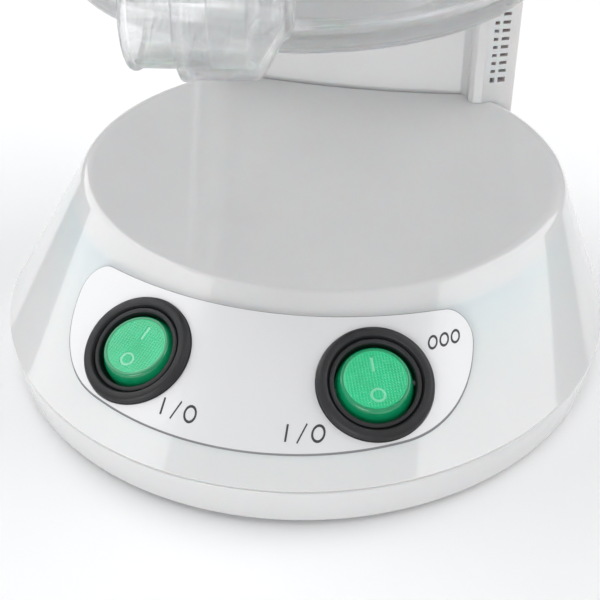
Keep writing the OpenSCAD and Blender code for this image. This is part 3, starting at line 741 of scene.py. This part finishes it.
def column_cavity():
    half, inner_r = 51.5, 87.6
    edge = math.asin(half / inner_r)
    front = [(-half, 70.9), (-46, 68.6), (-44, 69.4), (-40.5, 73.9), (40.5, 73.9), (44, 69.4),
             (46, 68.6), (half, 70.9)]
    turns = [edge * (1 - i / 12) for i in range(1, 24)]
    rear = [(inner_r * math.sin(a), inner_r * math.cos(a)) for a in turns]
    return prism("cutter", front + rear, 5, 215, "black", body=None)


def column_side(y0, y1):
    return prism("cutter", [(-80, y0), (80, y0), (80, y1), (-80, y1)], 0, 220, "black", body=None)


def vent_slots():
    """Two rows of slots on each flank; the lowest slots are taller."""
    boxes = []
    for side in (1, -1):
        for row in range(VENT_ROWS):
            h = 1.8 if row == 0 else 1.1
            place = Matrix.Translation((47, 65.9, VENT_Z + VENT_PITCH * row)) @ Matrix.Rotation(
                VENT_TURN, 4, "Z")
            if side < 0:
                place = Matrix.Scale(-1, 4, (1, 0, 0)) @ place
            boxes.append((place, (1.2, -2, 1.8 - h), (2.8, 5, 1.8)))
            boxes.append((place, (3.9, -2, 1.8 - h), (6.5, 5, 1.8)))
    return cutter(*box_mesh(boxes))


def column_screw_holes():
    holes = []
    for x in (-30, 30):
        for z in (70, 130, 185):
            place = Matrix.Translation((x, 81, z)) @ Matrix.Rotation(math.radians(-90), 4, "X")
            holes.append(lathe("cutter", [(0, -6), (1.5, -6), (1.5, 0), (3.2, 0), (3.2, 20), (0, 20)],
                               "black", place, 48, body=None))
    return holes


def inlet_port():
    """Stepped hole for the power inlet: the body's port and the wider seat of its flange."""
    cuts = []
    for half_w, half_h, radius, y0, y1 in ((14.1, 10.1, 2.0, 70, 100), (16.1, 12.1, 2.5, 88.6, 101)):
        corners = [(sx * half_w, sy * half_h, radius) for sx, sy in ((-1, -1), (1, -1), (1, 1), (-1, 1))]
        c = prism("cutter", round_corners(corners), y0, y1, "black", body=None)
        c.data.transform(Matrix.Translation((0, 0, 31 * MM)) @ Matrix.Rotation(math.radians(-90), 4, "X"))
        cuts.append(c)
    return cuts


def make_column():
    outline = column_outline()
    col = prism("column_front_visible", outline, SEAM_Z, COLUMN_TOP, "white", body=None)
    back = prism("column_back_visible", outline, SEAM_Z, COLUMN_TOP, "white", body=None)
    carve(col, [column_cavity(), column_side(SPLIT_Y, 120)])
    carve(col, [vent_slots()], sharp=32)
    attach(col, BODY)
    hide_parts("column_front")
    carve(back, [column_cavity(), column_side(40, SPLIT_Y)] + column_screw_holes() + inlet_port())
    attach(back, BODY)
    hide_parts("column_back")


# ---------------------------------------------------------------- head

HEAD_N = 180
HEAD_W, HEAD_L = 70, 90           # half width and half length of the head seen from above
HEAD_Z, HEAD_SPLIT, HEAD_SIDE, HEAD_H = 205.0, 232.0, 238, 20


def head_ring(inset, z):
    """Rounded outline of the head, a superellipse that is a little wider at the back."""
    def bend(v):
        return math.copysign(abs(v) ** (2 / 3), v)
    pts = []
    for k in range(HEAD_N):
        a = 2 * math.pi * k / HEAD_N
        c, s = math.cos(a), math.sin(a)
        pts.append(((HEAD_W - inset) * bend(c) * (1 + 0.08 * s), -1 + (HEAD_L - inset) * bend(s), z))
    return pts


def quarter(steps):
    return [(1 - math.cos(math.pi / 2 * i / steps), math.sin(math.pi / 2 * i / steps))
            for i in range(1, steps + 1)]


def make_head_top():
    """Domed cover, open below: the outside up to the middle, and the inside."""
    n = HEAD_N
    out = [head_ring(0.25, HEAD_SPLIT), head_ring(0.0, HEAD_SPLIT + 0.3), head_ring(0, 236)]
    out += [head_ring(26 * x, HEAD_SIDE + HEAD_H * z * 0.995) for x, z in quarter(14)]
    ins = [head_ring(3.0, HEAD_SPLIT), head_ring(3.0, 236)]
    ins += [head_ring(3 + 24 * x, 236 + 18 * z) for x, z in quarter(8)]
    verts, faces = rings(out, False)
    faces.append(tuple((len(out) - 1) * n + k for k in range(n)))
    base = len(verts)
    v2, f2 = rings(ins, False)
    f2.append(tuple((len(ins) - 1) * n + k for k in range(n)))
    verts += v2
    faces += [tuple(i + base for i in f) for f in f2]
    for k in range(n):
        q = (k + 1) % n
        faces.append((k, q, base + q, base + k))
    build("head_top_visible", verts, faces, "white", replaces=("head_top",), slot="white_gloss", sharp=30)


def make_head_lower():
    """Tray with a rounded lower edge, holes for the jar's neck and the riser, and its two collars."""
    n = HEAD_N
    out = [head_ring(inset, z) for inset, z in
           ((5.2, HEAD_Z), (3.6, 205.35), (2.1, 206.3), (0.8, 208.2), (0.2, 210.2), (0, 212), (0, 231.5),
            (0.25, 231.95), (3, 231.95), (3, 214), (6.5, 213.9), (6.5, 208))]
    verts, faces = rings(out, False)
    faces.append(tuple(reversed(range(n))))
    faces.append(tuple((len(out) - 1) * n + k for k in range(n)))
    low = build("head_lower_shell", verts, faces, "white", body=None)
    holes = []
    for r, place, segs in ((43.2, JAR_AXIS, 160), (11.9, RISER_AXIS, 96)):
        holes.append(lathe("cutter", [(0, 190), (r, 190), (r, 260), (0, 260)], "black", place, segs,
                           body=None))
    carve(low, holes, sharp=30)
    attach(low, BODY)
    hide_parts("head_lower")
    prof = [(43.2, 206), (51, 206), (51, 214.5), (43.2, 214.5)]
    lathe("head_neck_ring", prof, "white", JAR_AXIS, 160, slot="white_gloss")
    prof = [(6.58, 200.6), (7.0, 200)] + arc(11.2, 200.8, 0.8, -90, 0, 5)
    prof += [(12, 217), (9, 217), (9, 208), (6.58, 208)]
    lathe("head_spout_socket", prof, "white", RISER_AXIS, 128, slot="white_gloss")


def make_collar():
    prof = [(43.2, 196.4), (43.6, 196)] + arc(50.8, 197.2, 1.2, -90, 0, 6)
    prof += [(52, 204.9), (43.2, 204.9), (43.2, 202.6), (45, 202.6), (45, 198), (43.2, 198)]
    collar = lathe("jar_collar_visible", prof, "white", JAR_AXIS, 160, body=None)
    grooves = []
    for k in range(48):
        place = JAR_AXIS @ Matrix.Rotation(2 * math.pi * k / 48, 4, "Z")
        grooves.append((place, (51.5, -0.7, 197.4), (54, 0.7, 204)))
    carve(collar, [cutter(*box_mesh(grooves))], sharp=32)
    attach(collar, BODY)
    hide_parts("jar_collar")


# ---------------------------------------------------------------- jar and spout

def make_jar():
    """Glass jar with a low push-up in its floor, a round shoulder, a bead and three bayonet lugs."""
    jz, r, neck, wall = 111.7, 63.0, 42.5, 3.0
    out = [(0, jz + 1.4), (30, jz + 1.2), (44, jz + 0.6), (50, jz + 0.05), (54, jz)]
    out += arc(r - 6, jz + 6, 6, -78, 0, 12)
    run = r - neck
    out += [(neck + run * (1 + math.cos(math.radians(i * 9))) / 2, 172 + 23 * i / 20) for i in range(21)]
    out += [(neck, 208), (neck + 0.25, 208.8), (neck, 209.6), (neck, 210.7)]
    out += arc(neck - 0.8, 210.7, 0.8, 0, 90, 5) + arc(neck - 2.2, 210.7, 0.8, 90, 180, 5)
    inn = [(neck - wall + run * (1 + math.cos(math.radians(i * 9))) / 2, 170 + 23 * i / 20)
           for i in range(20, -1, -1)]
    inn += arc(r - wall - 6, jz + 4 + 6, 6, 0, -90, 12) + [(40, jz + 4.1), (20, jz + 4.7), (0, jz + 5.0)]
    lathe("glass_jar_visible", out + inn, "glass", JAR_AXIS, 224,
          body="jar", replaces=("glass_jar",), slot="jar_glass", sharp=50)
    for k in range(3):
        n, z0, z1 = 14, 198.6, 201.6
        lv = []
        for i in range(n + 1):
            a = math.radians(120 * k + 14 * i / n)
            c, s = math.cos(a), math.sin(a)
            ease = 0.55 if i in (0, n) else 0.0
            lv.append([JAR_AXIS @ Vector((rr * c, rr * s, z)) for rr, z in
                       ((42.4, z0 + ease), (44.2 - ease, z0 + ease), (44.5 - ease, z0 + 0.3 + ease),
                        (44.5 - ease, z1 - 0.3 - ease), (44.2 - ease, z1 - ease), (42.4, z1 - ease))])
        v, f = rings(lv, False)
        f.append(tuple(reversed(range(6))))
        f.append(tuple(n * 6 + i for i in range(6)))
        build("jar_lug_%d" % k, v, f, "glass", body="jar", slot="jar_glass")


def make_spout():
    """Barrel with a cone at its closed end, the riser with its bead, and the mouth."""
    turn = RISER_AXIS @ Matrix.Translation((0, 0, SPOUT_Z)) @ Matrix.Rotation(SPOUT_TURN, 4, "Z")
    axis = turn @ Matrix.Rotation(math.radians(90), 4, "Y")
    barrel = [(0, -15.3), (4.2, -15.3), (5.2, -15.0), (5.9, -14.3), (6.6, -13.3), (13.2, -9.5)]
    barrel += [(14.0, -8.8), (14.4, -7.6), (14.4, 4.2), (14.8, 4.5), (14.9, 4.9), (14.9, 5.8)]
    barrel += [(14.8, 6.2), (14.3, 6.5), (12.45, 6.5), (12.4, 0.05), (12.2, 0)]
    barrel += [(12.2, -7.2), (11.6, -8.0), (4.4, -12.6), (3.8, -13.0), (0, -13.0)]
    body = lathe("spout_barrel", barrel, "poly", axis, 160, body=None)

    def bore(top):
        prof = [(0, SPOUT_Z), (5, SPOUT_Z), (5, top), (0, top)]
        return lathe("cutter", prof, "black", RISER_AXIS, 96, body=None)
    carve(body, [bore(160)], sharp=35)
    stem = [(0, 139), (6.5, 139), (6.5, 207.9), (8.3, 208.1), (8.6, 208.4), (8.6, 209.8),
            (8.3, 210.1), (6.5, 210.3), (6.5, 211.6), (6.2, 212), (0, 212)]
    carve(body, [lathe("cutter", stem, "black", RISER_AXIS, 128, body=None)], "UNION", 35)
    carve(body, [bore(230)], sharp=35)
    body.data.materials.clear()
    body.data.materials.append(M["poly"])
    for p in body.data.polygons:
        p.material_index = 0
    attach(body, "spout")
    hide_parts("spout_body")
    mouth = [(10.8, 0.1), (12.35, 0.1), (12.35, 15.0), (12.7, 15.3), (12.9, 15.7), (12.9, 16.3),
             (12.6, 16.8), (12.0, 16.9), (11.2, 16.9), (10.8, 16.5)]
    lathe("spout_mouth_visible", mouth, "poly", axis, 160, body="spout", replaces=("spout_mouth",),
          slot="spout_clear")


# ---------------------------------------------------------------- CAD nodes that keep their shape

KEEP = {
    "base_screws": "steel", "column_screws": "steel", "head_screws": "steel",
    "left_pivot_pin": "steel", "right_pivot_pin": "steel", "left_lamp": "lamp", "right_lamp": "lamp",
    "left_terminals": "brass", "right_terminals": "brass", "circuit_board": "board",
    "ozone_transformer": "potting", "heater_relay": "relay", "fuse": "lamp", "wire_harness": "rubber",
    "power_inlet": "black", "inlet_pins": "steel", "jar_gasket": "silicone", "heater_plate": "steel",
    "heater_coil": "sheath", "level_probes": "steel", "thermostat": "ceramic", "steam_duct": "ceramic",
    "ozone_lamp": "lamp", "lamp_holder": "ceramic", "spout_seal": "silicone",
}


def finish_cad_nodes():
    for name, mat in KEEP.items():
        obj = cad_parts[name]
        if not obj.material_slots:
            obj.data.materials.append(M[mat])
        for s in obj.material_slots:
            s.link = "OBJECT"
            s.material = M[mat]


# ---------------------------------------------------------------- stage

FLOOR_SIZE, FLOOR_DROP = 2.6, 0.00002       # metres
LIGHTS = (("left", (-2.0, 0.7, 2.1), (0, 0, 0.05), 2.6, 34),
          ("right", (2.0, 0.7, 2.1), (0, 0, 0.05), 2.6, 33),
          ("front", (-0.5, -2.6, 0.55), (0, 0, 0.1), 1.4, 22))


def make_floor():
    mat = plastic("floor_paper", (0.985, 0.985, 0.985), (0.975, 0.975, 0.975), (0.75, 0.9), patch=6)
    n = 48
    steps = [(i / n - 0.5) * 2 * FLOOR_SIZE for i in range(n + 1)]
    verts = [(x, y, -FLOOR_DROP) for y in steps for x in steps]
    faces = []
    for j in range(n):
        for i in range(n):
            a = j * (n + 1) + i
            faces.append((a, a + 1, a + n + 2, a + n + 1))
    me = bpy.data.meshes.new("floor")
    me.from_pydata(verts, [], faces)
    me.materials.append(mat)
    floor = bpy.data.objects.new("floor", me)
    bpy.context.scene.collection.objects.link(floor)


def make_world():
    """Pale studio surround, brighter overhead."""
    world = bpy.data.worlds.new("studio")
    bpy.context.scene.world = world
    world.use_nodes = True
    nt = world.node_tree
    bg = nt.nodes["Background"]
    bg.inputs["Color"].default_value = (0.97, 0.98, 1.0, 1)
    co = nt.nodes.new("ShaderNodeTexCoord")
    sep = nt.nodes.new("ShaderNodeSeparateXYZ")
    nt.links.new(co.outputs["Generated"], sep.inputs["Vector"])
    nt.links.new(ramp(nt, sep.outputs["Z"], 0.42, 0.66, -0.1, 0.9), bg.inputs["Strength"])


def make_lights():
    for name, loc, target, size, power in LIGHTS:
        data = bpy.data.lights.new(name, "AREA")
        data.shape = "SQUARE"
        data.size = size
        data.energy = power
        light = bpy.data.objects.new(name, data)
        light.location = loc
        light.rotation_euler = (Vector(target) - Vector(loc)).to_track_quat("-Z", "Y").to_euler()
        bpy.context.scene.collection.objects.link(light)


make_base_shell()
make_base_plate()
make_panel()
for side, name in ((-1, "left"), (1, "right")):
    make_switch(side, name)
make_column()
make_head_top()
make_head_lower()
make_collar()
make_jar()
make_spout()
finish_cad_nodes()
make_floor()
make_world()
make_lights()
